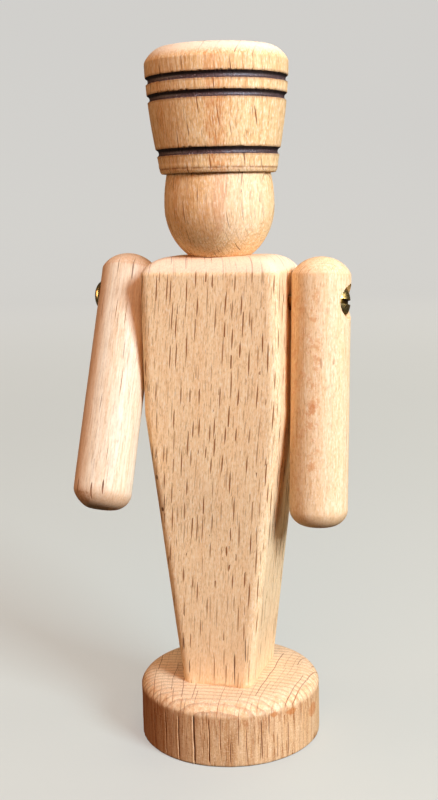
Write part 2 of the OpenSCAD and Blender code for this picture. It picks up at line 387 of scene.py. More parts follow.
def rays(s, tree, gap_round, gap_up, half_wide, half_tall, kept, seed):
    """Lens-shaped ribbons, 1 inside and 0 outside, one to each cell of a random pattern.

    gap_round and gap_up are the spacing of the rays, half_wide and half_tall their size, all in
    mm, and kept is the share of them that is there.
    """
    place = s.join(s.plus(s.times(tree["round"], 1 / gap_round), seed),
                   s.plus(s.times(tree["up"], 1 / gap_up), seed),
                   s.times(tree["out"], 1 / ray_run_out))
    cells = s.tree.nodes.new("ShaderNodeTexVoronoi")
    cells.inputs["Scale"].default_value = 1.0
    s.feed(cells.inputs["Vector"], place)
    off = s.add("VectorMath", {0: place, 1: cells.outputs["Position"]}, operation="SUBTRACT")
    off_round, off_up, _ = s.split(off)
    chance, length, depth = s.split(cells.outputs["Color"])
    tall = s.step(length, 0.0, 1.0, start=shortest_share * half_tall, end=half_tall)
    across = s.times(s.sum("ABSOLUTE", off_round), gap_round / half_wide)
    along = s.sum("DIVIDE", s.times(off_up, gap_up), tall)
    lens = s.sum("SUBTRACT", s.sum("SUBTRACT", 1.0, s.times(along, along)), across)
    strength = s.step(depth, 0.0, 0.7, start=faintest_share)
    there = s.times(s.sum("LESS_THAN", chance, kept), strength)
    return s.times(s.step(lens, 0.0, soft_edge_share), there)


print("a ray runs about", ray_run_out, "mm outwards")

# %% The wood
# Waves to a mm across the grain, and the share of them along it
band_waves = 0.55
strand_waves = 2.4
hair_waves = 4.4
hair_along_share = 0.07
fleck_waves = 4.6
fleck_along_share = 0.28
relief_mm = 0.05
hair_light = paint(255, 238, 208)
fleck_light = paint(255, 240, 212)
# Spacing round and up, half width and half height in mm, and the share kept
plain_big_rays = (1.7, 4.6, 0.13, 2.2, 0.85)
plain_small_rays = (1.1, 3.0, 0.07, 1.2, 0.6)


def beech(name, pale, warm, dark, heart_turn, heart_away, lean=(0.0, 0.0), big=plain_big_rays,
          small=plain_small_rays, ring_gap=1.6, ring_tone=0.12, streaks=0.5, specks=0.6,
          seed=0.0, put=Matrix()):
    """The bench with the colour and height of plain beech on it, ready for stains and marks.

    The fibres wander between pale and warm, and the rays are dark. ring_gap is in mm, and
    ring_tone, streaks and specks say how strongly the rings, fibres and pores show.
    """
    s = Finish(name)
    tree = tree_place(s, heart_turn, heart_away, lean, put)
    at = tree["at"]
    drawn = s.add("Mapping", {
        "Vector": at, "Location": (seed, seed, seed), "Scale": (1.0, 1.0, hair_along_share)})
    pored = s.add("Mapping", {"Vector": at, "Scale": (1.0, 1.0, fleck_along_share)})
    hair = s.noise(drawn, hair_waves, detail=3.0, rough=0.6)
    band = s.noise(drawn, band_waves, detail=3.0, rough=0.6)
    strand = s.noise(drawn, strand_waves, detail=3.0, rough=0.6)
    fleck = s.noise(pored, fleck_waves, detail=2.0, rough=0.6)
    # Broad bands and finer strands wander between the pale and the warm colour
    tone = s.plus(s.times(s.step(band, 0.3, 0.7), 0.45), s.times(s.step(strand, 0.3, 0.7), 0.55))
    colour = s.mix(tone, pale, warm)
    # Each ring darkens slowly outwards and ends at once
    ring = s.sum("FRACT", s.plus(s.times(tree["out"], 1 / ring_gap), s.times(band, 0.8)))
    late = s.sum("SUBTRACT", s.step(ring, 0.45, 0.98), s.step(ring, 0.98, 1.0))
    colour = s.mix(s.times(late, ring_tone), colour, dark)
    # Fibres and pores, darker where their noise is high and lighter where it is low
    colour = s.mix(s.step(hair, 0.49, 0.68, end=0.34 * streaks), colour, dark)
    colour = s.mix(s.step(hair, 0.5, 0.3, end=0.5 * streaks), colour, hair_light)
    colour = s.mix(s.step(fleck, 0.52, 0.72, end=0.34 * specks), colour, dark)
    colour = s.mix(s.step(fleck, 0.48, 0.28, end=0.5 * specks), colour, fleck_light)
    # Two sizes of ray, of which the big ones are also a little sunken
    small_rays = rays(s, tree, *small, seed + 40.0)
    big_rays = rays(s, tree, *big, seed + 7.0)
    colour = s.mix(s.times(small_rays, 0.5), colour, dark)
    colour = s.mix(s.times(big_rays, 0.92), colour, dark)
    height = s.plus(s.times(hair, 0.6), s.times(fleck, 0.4))
    height = s.sum("SUBTRACT", height, s.times(big_rays, 0.8))
    tree["rays"] = big_rays
    tree["hair"] = hair
    tree["band"] = band
    return s, tree, colour, height


def bare_wood(s, tree, smooth, rough):
    """The roughness of bare wood, whose fibres shine a little more than its pores."""
    return s.step(tree["hair"], 0.3, 0.7, start=smooth, end=rough)


def spot(s, at, centre, size, ragged):
    """1 inside an oval place with a ragged edge and 0 outside, centre and size in mm."""
    off = s.add("VectorMath", {0: at, 1: centre}, operation="SUBTRACT")
    off = s.add("VectorMath", {0: off, 1: size}, operation="DIVIDE")
    far = s.add("VectorMath", {0: off}, out="Value", operation="LENGTH")
    uneven = s.sum("SUBTRACT", s.noise(at, 1.8, detail=3.0, rough=0.7), 0.5)
    return s.step(s.plus(far, s.times(uneven, 2 * ragged)), 1.1, 0.75)


print("beech is ready to mix")

# %% [markdown]
# ## The base
# The base was turned on a lathe from wood whose grain stands upright, so its top is end grain:
# rings cross it from side to side and rays run from front to back. The tool tore the fibres
# on the wall and the drying wood split along its rays, which leaves upright cracks with a
# raised lip. Those are too deep for a painted line, so they are cut into the mesh, and the
# wall needs many narrow columns to hold them.

# %% Random heights for relief
chart_size = 256


def waves(u, v, seed, wrap=chart_size):
    """Smooth random heights from -1 to 1, about one wave to a unit of u and v."""
    chart = np.random.default_rng(seed).uniform(-1, 1, (chart_size, chart_size))
    left = np.floor(u).astype(int)
    low = np.floor(v).astype(int)
    share_u = u - left
    share_v = v - low
    share_u = share_u * share_u * (3 - 2 * share_u)
    share_v = share_v * share_v * (3 - 2 * share_v)
    a, b = left % wrap, (left + 1) % wrap
    c, d = low % chart_size, (low + 1) % chart_size
    near = chart[a, c] * (1 - share_u) + chart[b, c] * share_u
    far = chart[a, d] * (1 - share_u) + chart[b, d] * share_u
    return near * (1 - share_v) + far * share_v


def ring_waves(angle, v, count, seed):
    """The same heights with a whole count of waves round a turned piece, so that no seam shows."""
    return waves(angle * count / math.tau, v, seed, count)


def soft(value, low, high):
    """Rises smoothly from 0 to 1 while the value goes from low to high."""
    t = np.clip((value - low) / (high - low), 0, 1)
    return t * t * (3 - 2 * t)


def filled(outline, step_mm):
    """The outline with points added, so that no stretch is longer than the step."""
    result = [outline[0]]
    for a, b in zip(outline, outline[1:]):
        count = max(1, math.ceil(math.dist(a, b) / step_mm))
        for i in range(1, count + 1):
            share = i / count
            result.append((a[0] + (b[0] - a[0]) * share, a[1] + (b[1] - a[1]) * share))
    return result


def rounding(inward, height, crease_deg, steps):
    """Points of a rounding, each (how far in, how far up), from (0, 0) to (inward, height)."""
    crease = math.radians(crease_deg)
    points = []
    for i in range(steps + 1):
        t = crease + (math.pi / 2 - crease) * i / steps
        x = inward * (1 - math.cos(t) / math.cos(crease))
        y = height * (math.sin(t) - math.sin(crease)) / (1 - math.sin(crease))
        points.append((x, y))
    return points


first_height = waves(np.array([0.0]), np.array([0.0]), 1)[0]
print("the first height of a wave chart is", round(float(first_height), 2))

# %% Turn the base, with its cracked wall
base_r = (base_high.x - base_low.x) / 2
base_h = base_high.z
base_round_in = 3.5
base_round_h = 2.0
base_chamfer = 0.2
base_hole_h = 3.5
base_columns = 1300
dowel_r = 3.05
dowel_seat_h = 0.6
# The relief of the wall: where it starts, how far it stands in, how high its waves and fibres
relief_from_r = base_r - 1.0
relief_full_r = base_r - 0.12
wall_in = 0.09
least_in = 0.01
slow_wave = 0.03
torn_fibre = 0.025
edge_fuzz = 0.02
fuzz_from_h = 7.5
fuzz_full_h = 9.0
crack_sway = 0.06
crack_foot = (-0.4, 0.8)
crack_head = (-1.2, 0.3)
lip_share = 0.25
towards_eye = -71.8
# Cracks on the wall that show from the front: degrees from the eye, bottom, top, width, depth
seen_cracks = [
    (-57, 0.5, 8.6, 0.16, 0.22), (-50, 1.0, 6.0, 0.10, 0.12), (-45, 0.3, 8.8, 0.16, 0.24),
    (-39, 2.0, 7.5, 0.10, 0.12), (-34.5, 0.4, 8.3, 0.20, 0.34), (-29, 0.4, 6.5, 0.09, 0.12),
    (-23.5, 0.2, 8.9, 0.24, 0.42), (-18, 2.0, 8.2, 0.09, 0.10), (-14, 0.6, 8.6, 0.16, 0.24),
    (-7, 3.0, 9.2, 0.12, 0.16), (-4, 0.3, 4.0, 0.10, 0.12), (-1, 0.4, 5.2, 0.13, 0.18),
    (4, 3.5, 8.5, 0.11, 0.16), (9, 0.3, 7.0, 0.12, 0.20), (14, 2.5, 6.0, 0.09, 0.12),
    (18.5, 1.0, 8.3, 0.15, 0.26), (23.5, 5.0, 9.2, 0.12, 0.20), (29, 0.4, 5.5, 0.12, 0.20),
    (37.5, 0.6, 6.8, 0.16, 0.26), (43, 3.0, 8.0, 0.10, 0.14), (49, 5.2, 9.4, 0.18, 0.32),
    (55.5, 2.2, 6.8, 0.15, 0.22), (62, 1.0, 7.5, 0.12, 0.16),
]
rng = np.random.default_rng(11)
hidden_cracks = []
for middle_deg in range(72, 296, 8):
    turn_deg = middle_deg + rng.uniform(-3, 3)
    bottom = rng.uniform(0.2, 4)
    top = rng.uniform(6, 9.2)
    wide = rng.uniform(0.1, 0.2)
    deep = rng.uniform(0.1, 0.3)
    hidden_cracks.append((turn_deg, bottom, top, wide, deep))
cracks = seen_cracks + hidden_cracks


def cracked_wall(angle, radius, height):
    """How far the wall stands in or out: cracks with raised lips, torn fibres, a slow wave."""
    wall = soft(radius, relief_from_r, relief_full_r)
    change = slow_wave * ring_waves(angle, height * 0.2, count=19, seed=3)
    change = change + torn_fibre * ring_waves(angle, height * 0.35, count=240, seed=4)
    for turn_deg, bottom, top, wide, deep in cracks:
        sway = crack_sway * waves(height * 0.5 + turn_deg, height * 0, seed=5)
        off = (angle - math.radians(towards_eye + turn_deg) + math.pi) % math.tau - math.pi
        off = off * base_r + sway
        above_foot = soft(height, bottom + crack_foot[0], bottom + crack_foot[1])
        past_head = soft(height, top + crack_head[0], top + crack_head[1])
        along = above_foot * (1 - past_head)
        narrow = 0.5 * wide
        lip = off + 2.6 * narrow
        change = change - deep * along * np.exp(-(off / narrow) ** 2)
        change = change + lip_share * deep * along * np.exp(-(lip / narrow) ** 2)
    fuzz = edge_fuzz * ring_waves(angle, height * 3, count=250, seed=6)
    fuzz = fuzz * soft(height, fuzz_from_h, fuzz_full_h)
    return wall * np.minimum(change + fuzz - wall_in, -least_in)


edge_turns = rounding(base_round_in, base_round_h, crease_deg=12, steps=18)
edge = [(base_r - x, base_h - base_round_h + y) for x, y in edge_turns]
base_outline = [(0, 0), (base_r - base_chamfer, 0), (base_r, base_chamfer)]
base_outline = filled(base_outline + edge[:1], step_mm=0.3) + edge[1:]
base_outline += filled([edge[-1], (dowel_r, base_h)], step_mm=0.6)[1:]
base_outline += [(dowel_r, base_h - dowel_seat_h), (dowel_r, base_hole_h), (0, base_hole_h)]
base = turned("turned_base", base_outline, base_columns, cracked_wall)
print("base with", len(base.data.polygons), "faces and", len(cracks), "cracks")

# %% [markdown]
# The finish of the base adds to the plain beech: the cracks are darker than the wall because
# dust gathers there and painted shade is laid in them, and the rounded edge is a fuzzy
# orange-brown band, where the lathe burnished the cut ends of the fibres.

# %% Finish the base
# From and to, in mm from the axis or above the table: where one look gives way to the next
band_in = (base_r - 3.4, base_r - 1.2)
band_up = (base_h - 2.6, base_h - 1.9)
flat_top = (base_h - 0.9, base_h - 0.4)
under_band = (base_h - 1.8, base_h - 2.5)
torn_zone = (base_h - 5.0, base_h - 2.6)
shade_across = (1.0, -14.5)
shade_down = (base_h - 1.2, base_h - 2.6)
crack_in = (base_r - 0.11, base_r - 0.28)
crack_down = (base_h - 1.6, base_h - 2.4)
# Centre and size of each resin stain in mm
resin_stains = [
    ((15.8, -2.3, 6.0), (1.5, 1.6, 1.3)), ((13.6, -8.4, 8.1), (1.0, 1.3, 0.6)),
    ((11.4, -11.2, 8.5), (0.9, 0.8, 0.5)),
]

s, tree, colour, height = beech(
    "base_beech_finish", paint(247, 217, 173), paint(234, 191, 138), paint(128, 66, 30),
    heart_turn=-83.6, heart_away=75.0, big=(1.7, 4.2, 0.11, 2.6, 0.92), ring_gap=1.25,
    ring_tone=0.46, streaks=0.5, specks=0.4)
x, y, z = s.split(tree["plain"])
from_axis = s.sum("SQRT", s.plus(s.times(x, x), s.times(y, y)))
ragged = s.plus(z, s.times(s.sum("SUBTRACT", tree["hair"], 0.5), 2.4))
colour = s.mix(s.step(z, *flat_top, end=0.22), colour, paint(222, 200, 174))
# The worn patches of the burnished edge, and the warmer, fuzzy wall below it
on_edge = s.times(s.step(from_axis, *band_in), s.step(z, *band_up))
patchy = s.noise(tree["plain"], 1.3, detail=4.0, rough=0.7)
worn = s.times(on_edge, s.step(patchy, 0.4, 0.65))
colour = s.mix(s.times(worn, 0.45), colour, paint(212, 140, 84))
below = s.step(ragged, *under_band)
colour = s.mix(s.times(below, 0.45), colour, paint(208, 144, 78))
fuzz = s.noise(tree["plain"], 3.6, detail=3.0, rough=0.7)
colour = s.mix(s.times(below, s.step(fuzz, 0.53, 0.7, end=0.55)), colour, paint(250, 220, 178))
colour = s.mix(s.times(below, s.step(fuzz, 0.47, 0.3, end=0.5)), colour, paint(156, 88, 38))
# Torn fibres, and painted shade that darkens the wall towards the left, away from the key light
torn = s.times(below, s.step(ragged, *torn_zone))
torn = s.times(s.plus(s.times(below, 0.1), s.times(torn, 0.45)), s.step(tree["hair"], 0.45, 0.62))
colour = s.mix(torn, colour, paint(170, 92, 42))
painted_left_shade = s.times(s.step(x, *shade_across), s.step(z, *shade_down))
colour = s.mix(s.times(painted_left_shade, 0.7), colour, paint(146, 72, 24))
for centre, size in resin_stains:
    stain = spot(s, tree["plain"], centre, size, ragged=0.5)
    colour = s.mix(s.times(stain, 0.6), colour, paint(196, 112, 44))
# Dust and painted shade darken the cracks
in_crack = s.times(s.step(from_axis, *crack_in), s.step(z, *crack_down))
colour = s.mix(s.times(in_crack, 0.85), colour, paint(96, 42, 12))
roughness = bare_wood(s, tree, smooth=0.55, rough=0.7)
base.data.materials.append(s.finish(colour, roughness, height, relief_mm))
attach(base, "figure")
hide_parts("base_disc")
print("base finished")

# %% [markdown]
# ## The body
# The body is a sawn block: flat front and back, sides that taper below the chest, and all its
# edges taken off with sandpaper. A cube with a bevel would have the right corners but no room
# for the tool's slight unevenness. Here the block is a stack of rounded rectangles, each as
# wide and deep as the sides allow at its height, and the top rows close over in two arcs.

# %% Loft the body
body_half_w = (body_high.x - body_low.x) / 2
body_half_d = (body_high.y - body_low.y) / 2
body_h = body_high.z - body_low.z
foot_half_w = 6.35
taper_h = 47.4
edge_r = 1.8
shoulder_in = 4.2
brow_in = 4.0
top_round_h = 2.7
corner_steps = 9
side_steps = (86, 52)
wall_rows = 210
top_rows = 16
cap_rows = 14


def drawn_in(drop, inward):
    """How far the rounded top has come in from a side, at a distance below the very top."""
    if drop >= top_round_h:
        return 0.0
    arc_r = (inward ** 2 + top_round_h ** 2) / (2 * top_round_h)
    return inward - math.sqrt(max(0.0, arc_r ** 2 - (arc_r - drop) ** 2))


def rounded_ring(half_w, half_d, corner_r, height):
    """A rounded rectangle of points, the same number on each side at every height."""
    across = half_w - corner_r
    back = half_d - corner_r
    centres = [(across, back), (-across, back), (-across, -back), (across, -back)]
    points = []
    for i, (x, y) in enumerate(centres):
        for j in range(corner_steps + 1):
            t = math.pi / 2 * (i + j / corner_steps)
            points.append((x + corner_r * math.cos(t), y + corner_r * math.sin(t), height))
        after = centres[(i + 1) % 4]
        t = math.pi / 2 * (i + 1)
        start = (x + corner_r * math.cos(t), y + corner_r * math.sin(t))
        stop = (after[0] + corner_r * math.cos(t), after[1] + corner_r * math.sin(t))
        count = side_steps[i % 2]
        for j in range(1, count):
            share = j / count
            x_part = (stop[0] - start[0]) * share
            y_part = (stop[1] - start[1]) * share
            points.append((start[0] + x_part, start[1] + y_part, height))
    return points


foot_ring = rounded_ring(foot_half_w, body_half_d, edge_r, 0.0)
print("each row of the body has", len(foot_ring), "points")

# %% Stack the rows and sand them
sanded_in = 0.06
slow_sanding = 0.05
fine_sanding = 0.012
dent_depth = 0.06
dents_from_x = 5.0
foot_in = 0.2

rings = []
for i in range(wall_rows + 1):
    h = (body_h - top_round_h) * i / wall_rows
    half_w = foot_half_w + (body_half_w - foot_half_w) * min(1.0, h / taper_h)
    rings.append(rounded_ring(half_w, body_half_d, edge_r, h))
for i in range(1, top_rows + 1):
    drop = top_round_h * (1 - math.sin(math.pi / 2 * i / top_rows))
    half_w = body_half_w - drawn_in(drop, shoulder_in)
    half_d = body_half_d - drawn_in(drop, brow_in)
    rings.append(rounded_ring(half_w, half_d, edge_r, body_h - drop))
rings = np.array(rings)
cap = [rings[-1] * (1 - i / cap_rows, 1 - i / cap_rows, 1) for i in range(1, cap_rows)]
rings = np.concatenate([rings, np.array(cap)])
rings[:, :, 2] += body_low.z

flat_mm = rings[:, :, :2]
x_mm = rings[:, :, 0]
y_mm = rings[:, :, 1]
z_mm = rings[:, :, 2]
way = flat_mm / np.linalg.norm(flat_mm, axis=-1, keepdims=True)
sanded = slow_sanding * waves(x_mm * 0.12, z_mm * 0.07, seed=21)
sanded = sanded + fine_sanding * waves(x_mm * 1.1, z_mm * 0.3, seed=22)
dents = dent_depth * soft(waves(x_mm * 0.9, z_mm * 0.55, seed=23), 0.55, 0.95)
flat_mm -= way * (sanded_in + sanded)[:, :, None]
near_corner = soft(np.abs(y_mm), body_half_d - 1.4, body_half_d - 0.5)
near_corner = near_corner * soft(np.abs(x_mm), dents_from_x, dents_from_x + 1)
flat_mm -= way * (dents * near_corner)[:, :, None]
# The foot stands off the base a little on the right, which leaves a dark line under it
flat_mm[0] -= way[0] * foot_in * soft(x_mm[0], -5.0, 1.0)[:, None]
body = skin("sawn_body", rings, (0, 0, body_low.z), (0, 0, body_high.z))
print("body with", len(body.data.polygons), "faces")


# %% [markdown]
# Holes are cut afterwards, as a drill does it: a plain cutter is placed where the hole goes
# and taken away from the solid. The dowels and the screws then sit in real holes.

# %% A drill
def cut(piece, cutters):
    """Takes the cutters away from the piece and deletes them."""
    for cutter in cutters:
        drill = piece.modifiers.new("drill", "BOOLEAN")
        drill.operation = "DIFFERENCE"
        drill.solver = "MANIFOLD"
        drill.object = cutter
    bpy.context.view_layer.update()
    drilled = piece.evaluated_get(bpy.context.evaluated_depsgraph_get())
    shape = bpy.data.meshes.new_from_object(drilled)
    piece.modifiers.clear()
    shape.name = piece.name
    shape.materials.clear()
    old = piece.data
    piece.data = shape
    bpy.data.meshes.remove(old)
    for cutter in cutters:
        bpy.data.objects.remove(cutter)
    shape.shade_smooth()
    shape.set_sharp_from_angle(angle=math.radians(50))


def rod(radius, bottom, top, turns=64):
    """A plain round cutter along +Z, in mm."""
    return turned("cutter", [(0, bottom), (radius, bottom), (radius, top), (0, top)], turns)


def laid(piece, place_mm, turn):
    """The piece with its mesh turned and moved to a place in mm."""
    piece.data.transform(Matrix.Translation(Vector(place_mm) * MM) @ turn.to_4x4())
    return piece


arm_x = joints["right_shoulder"]["pos_m"][0] / MM
left_screw_z = joints["left_shoulder"]["pos_m"][2] / MM
right_screw_z = joints["right_shoulder"]["pos_m"][2] / MM
screw_r = 1.4
foot_hole_h = 9.5
neck_hole_depth = 10.5
sideways = Euler((0, math.pi / 2, 0)).to_matrix()
left_tip = box_mm("left_arm_screw")[1].x
right_tip = box_mm("right_arm_screw")[0].x
cut(body, [
    rod(dowel_r, body_low.z - 1, body_low.z + foot_hole_h),
    rod(dowel_r, body_high.z - neck_hole_depth, body_high.z + 1),
    laid(rod(screw_r, -body_half_w - 1, left_tip + 0.5), (0, 0, left_screw_z), sideways),
    laid(rod(screw_r, right_tip - 0.5, body_half_w + 1), (0, 0, right_screw_z), sideways),
])
print("body drilled,", len(body.data.polygons), "faces")

# %% [markdown]
# The front of the block was sawn across the rays, so it shows them as dark dashes, slightly
# slanted because the saw didn't follow the grain. Near the foot the wood has two long checks,
# which are drying cracks along a ray, and a few short ones lie on its left edge.

# %% Finish the body
# Centre and size of each check in mm, and how dark it is
body_checks = [
    ((3.42, -8.1, 14.3), (0.10, 1.0, 3.5), 0.9), ((5.45, -8.1, 18.0), (0.11, 1.0, 2.3), 0.7),
    ((-5.75, -7.4, 18.2), (0.16, 1.5, 1.3), 0.8), ((-4.8, -8.0, 14.0), (0.12, 1.0, 1.3), 0.7),
    ((-9.8, -7.6, 47.6), (0.22, 1.2, 0.5), 0.7), ((-8.95, -7.6, 42.0), (0.25, 1.2, 0.4), 0.8),
]
painted_foot_shade = (36.0, 14.0)
painted_brow_sheen = (body_high.z - 2.6, body_high.z - 2.1)

s, tree, colour, height = beech(
    "body_beech_finish", paint(252, 217, 166), paint(243, 199, 145), paint(140, 80, 30),
    heart_turn=121, heart_away=60.0, lean=(0.0, -4.2), big=(1.3, 5.0, 0.135, 3.3, 0.8),
    small=(0.9, 3.2, 0.09, 1.7, 0.5), ring_gap=2.4, ring_tone=0.03, streaks=0.45, specks=1.0,
    seed=3.0)
z = s.split(tree["plain"])[2]
# Painted shade: the front grows darker and warmer towards the foot
colour = s.mix(s.step(z, *painted_foot_shade, end=0.35), colour, paint(240, 196, 146))
for centre, size, dark in body_checks:
    check = spot(s, tree["plain"], centre, size, ragged=0.1)
    colour = s.mix(s.times(check, dark), colour, paint(84, 38, 14))
    height = s.sum("SUBTRACT", height, check)
# A painted sheen: the rounded top turns paler and whiter
colour = s.mix(s.step(z, *painted_brow_sheen, end=0.5), colour, paint(242, 218, 192))
roughness = bare_wood(s, tree, smooth=0.5, rough=0.62)
body.data.materials.append(s.finish(colour, roughness, height, relief_mm))
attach(body, "figure")
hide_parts("body_block")
print("body finished")

# %% [markdown]
# ## The head and the hat
# Both are turned in one piece. The wall of the hat flares quickly above the brim and then
# runs nearly straight, and the three grooves were burnt in with a wire held against the
# spinning wood. A clean groove would look machined, so the lips of each groove wander and
# chip: the grooves are part of the wall's relief, worked out at every point round the hat.

# %% Measure the head and the hat
hat_top_r = (head_high.x - head_low.x) / 2
head_r = 9.25
head_h = 13.6
head_wide_h = 8.3
chin_oval_h = 10.0
temple_oval_h = 15.6
brim_r = 9.95
brim_step = 0.55
brim_round_h = 1.6
crown_round_in = 2.4
crown_round_h = 2.4
crown_rise = 0.3
flare_power = 1.6
crown_power = 1.4
groove_w = 1.15
groove_depth = 0.4
groove_r = (groove_w ** 2 / 4 + groove_depth ** 2) / (2 * groove_depth)
groove_heights = (3.4, 12.1, 14.9)
neck_z = head_low.z
brim_z = neck_z + head_h
hat_h = head_high.z - brim_z
wall_top_h = hat_h - crown_rise - crown_round_h
neck_hole_h = 10.5
print("grooves at", [round(brim_z + h, 1) for h in groove_heights], "mm")


# %% Shape the wall and the head
def flared_r(h):
    """Radius of the hat's wall at a height above the brim."""
    share = (h - brim_round_h) / (wall_top_h - brim_round_h)
    return brim_r + (hat_top_r - brim_r) * (1 - (1 - share) ** flare_power)


def oval_r(h):
    """Radius of the head at a height above the neck."""
    tall = chin_oval_h if h < head_wide_h else temple_oval_h
    return head_r * math.sqrt(1 - ((h - head_wide_h) / tall) ** 2)


print("the head meets the brim at a radius of", round(oval_r(head_h), 2), "mm")

# %% Score the wall and burn the grooves
# Heights of the tool's marks, the chips on the lips of the grooves and the grooves' wander
turned_wave = 0.02
turned_ring = 0.012
turned_fibre = 0.014
upper_chip = 0.17
lower_chip = 0.1
groove_wander = 0.04
turned_in = 0.03
# Height above the brim's edge, depth and half width of each scored line
scored_lines = [(0.72, 0.11, 0.1), (0.3, 0.05, 0.12)]
relief_r = (3.2, 5.0)


def burnt_grooves(angle, radius, height):
    """How far the turned wall stands in: the grooves with chipped lips, and the tool's marks."""
    h = height - brim_z
    level = height * 0
    change = turned_wave * ring_waves(angle, height * 0.15, count=16, seed=31)
    change = change + turned_ring * ring_waves(angle, height * 2.6, count=4, seed=32)
    change = change + turned_fibre * ring_waves(angle, height * 0.5, count=250, seed=33)
    for i, groove_h in enumerate(groove_heights):
        upper = upper_chip * soft(ring_waves(angle, level + i, count=190, seed=34), 0.1, 0.9)
        lower = lower_chip * soft(ring_waves(angle, level + i, count=150, seed=35), 0.3, 1.0)
        off = h - groove_h - groove_wander * ring_waves(angle, level + i, count=38, seed=36)
        half = groove_w / 2 + np.where(off > 0, upper, lower)
        across = np.clip(off / half, -1, 1) * groove_w / 2
        change = change - (np.sqrt(groove_r ** 2 - across ** 2) - (groove_r - groove_depth))
    line = sum(deep * np.exp(-((h - line_h) / wide) ** 2) for line_h, deep, wide in scored_lines)
    torn = 0.6 + 0.4 * ring_waves(angle, level, count=150, seed=37)
    return soft(radius, *relief_r) * (change - line * torn) - turned_in


print("a wire of radius", round(groove_r, 2), "mm fits each groove")

# %% Turn the head and the hat
head_rows = 60
brim_rows = 14
crown_rows = 16
crown_top_rows = 20
groove_row = 0.055
plain_row = 0.28
groove_reach = 0.9
head_columns = 900


def crown_point(i, count):
    """A point of the hat's rounded top edge."""
    t = math.pi / 2 * i / count
    x = hat_top_r - crown_round_in * (1 - math.cos(t) ** (2 / crown_power))
    return (x, brim_z + wall_top_h + crown_round_h * math.sin(t) ** (2 / crown_power))


def wall_heights():
    """Heights of the rows on the hat's wall, close together at each groove."""
    h = brim_round_h
    heights = [h]
    while h < wall_top_h:
        near = min(abs(h - g) for g in groove_heights)
        h = h + (groove_row if near < groove_reach else plain_row)
        heights.append(min(h, wall_top_h))
    return heights


head_part = []
for i in range(head_rows + 1):
    h = head_h * i / head_rows
    head_part.append((oval_r(h), neck_z + h))
brim_part = []
for i in range(brim_rows + 1):
    t = math.pi / 2 * i / brim_rows
    r = brim_r - brim_step * (1 - math.sin(t))
    brim_part.append((r, brim_z + brim_round_h * (1 - math.cos(t))))
wall_part = [(flared_r(h), brim_z + h) for h in wall_heights()[1:]]
crown_part = [crown_point(i, crown_rows) for i in range(1, crown_rows + 1)]
top_part = []
for i in range(1, crown_top_rows + 1):
    share = 1 - i / crown_top_rows
    top_part.append(((hat_top_r - crown_round_in) * share, head_high.z - crown_rise * share ** 2))
hole_top = neck_z + neck_hole_h
hole_part = filled([(0, hole_top), (dowel_r, hole_top), (dowel_r, neck_z), head_part[0]], step_mm=1.5)
outline = hole_part + head_part[1:] + brim_part + wall_part + crown_part + top_part
head = turned("turned_head_and_hat", outline, head_columns, burnt_grooves)
print("head and hat with", len(head.data.polygons), "faces")

# %% [markdown]
# Charred wood is nearly black but not dull: the scorched lower flank catches the light with a
# cool grey sheen. So the burn changes both the colour and the gloss, and it is placed by its
# distance from the middle of each groove, with a thin brown scorch round it.

# %% Finish the head and the hat
crown_wash = (head_high.z - 2.5, head_high.z - 0.9)
on_crown = (head_high.z - 0.8, head_high.z - 0.3)
year_waves = 0.7
# From and to, in mm from the middle of a groove or of the scored line
burn_edge = (groove_w / 2 + 0.03, groove_w / 2 - 0.06)
scorch_edge = (groove_w / 2 + 0.45, groove_w / 2)
flank_foot = (-0.05, 0.2)
flank_head = (1.2, 0.9)
score_edge = (0.24, 0.03)

s, tree, colour, height = beech(
    "turned_beech_finish", paint(249, 211, 152), paint(230, 172, 106), paint(132, 68, 24),
    heart_turn=70, heart_away=42.0, lean=(0.0, 0.5), big=(1.9, 5.2, 0.08, 2.4, 0.7),
    small=(0.8, 2.8, 0.05, 1.5, 0.6), ring_gap=2.1, ring_tone=0.08, streaks=0.75, specks=1.0,
    seed=9.0)
z = s.split(tree["plain"])[2]
# A reddish streak up the front, a painted highlight on the lit cheek, and a warm smear near the chin that
# is also painted warm shade
red_streak = spot(s, tree["plain"], (3.0, -11.0, neck_z + 20.0), (1.6, 5.0, 22.0), ragged=0.5)
red_streak = s.times(red_streak, s.step(tree["hair"], 0.42, 0.62, start=0.2))
colour = s.mix(s.times(red_streak, 0.6), colour, paint(208, 122, 56))
painted_cheek_highlight = spot(s, tree["plain"], (5.6, -6.4, neck_z + 9.0), (6.5, 6.5, 6.5), ragged=0.6)
colour = s.mix(s.times(painted_cheek_highlight, 0.2), colour, paint(252, 232, 204))
warm_smear_and_painted_shade = spot(s, tree["plain"], (1.2, -8.8, neck_z + 5.6), (2.2, 3.0, 3.8), ragged=0.5)
colour = s.mix(s.times(warm_smear_and_painted_shade, 0.3), colour, paint(206, 128, 62))
# The top of the hat is end grain: pale, with its rings and rays
colour = s.mix(s.step(z, *crown_wash, end=0.72), colour, paint(246, 226, 198))
year = s.sum("FRACT", s.plus(s.times(tree["out"], year_waves), s.times(tree["band"], 0.8)))
year = s.times(s.step(year, 0.4, 0.96), s.step(year, 1.0, 0.96))
year = s.times(year, s.step(z, *on_crown, end=0.4))
colour = s.mix(year, colour, paint(196, 138, 84))
crown_rays = s.times(tree["rays"], s.step(z, *on_crown, end=0.5))
colour = s.mix(crown_rays, colour, paint(150, 92, 48))
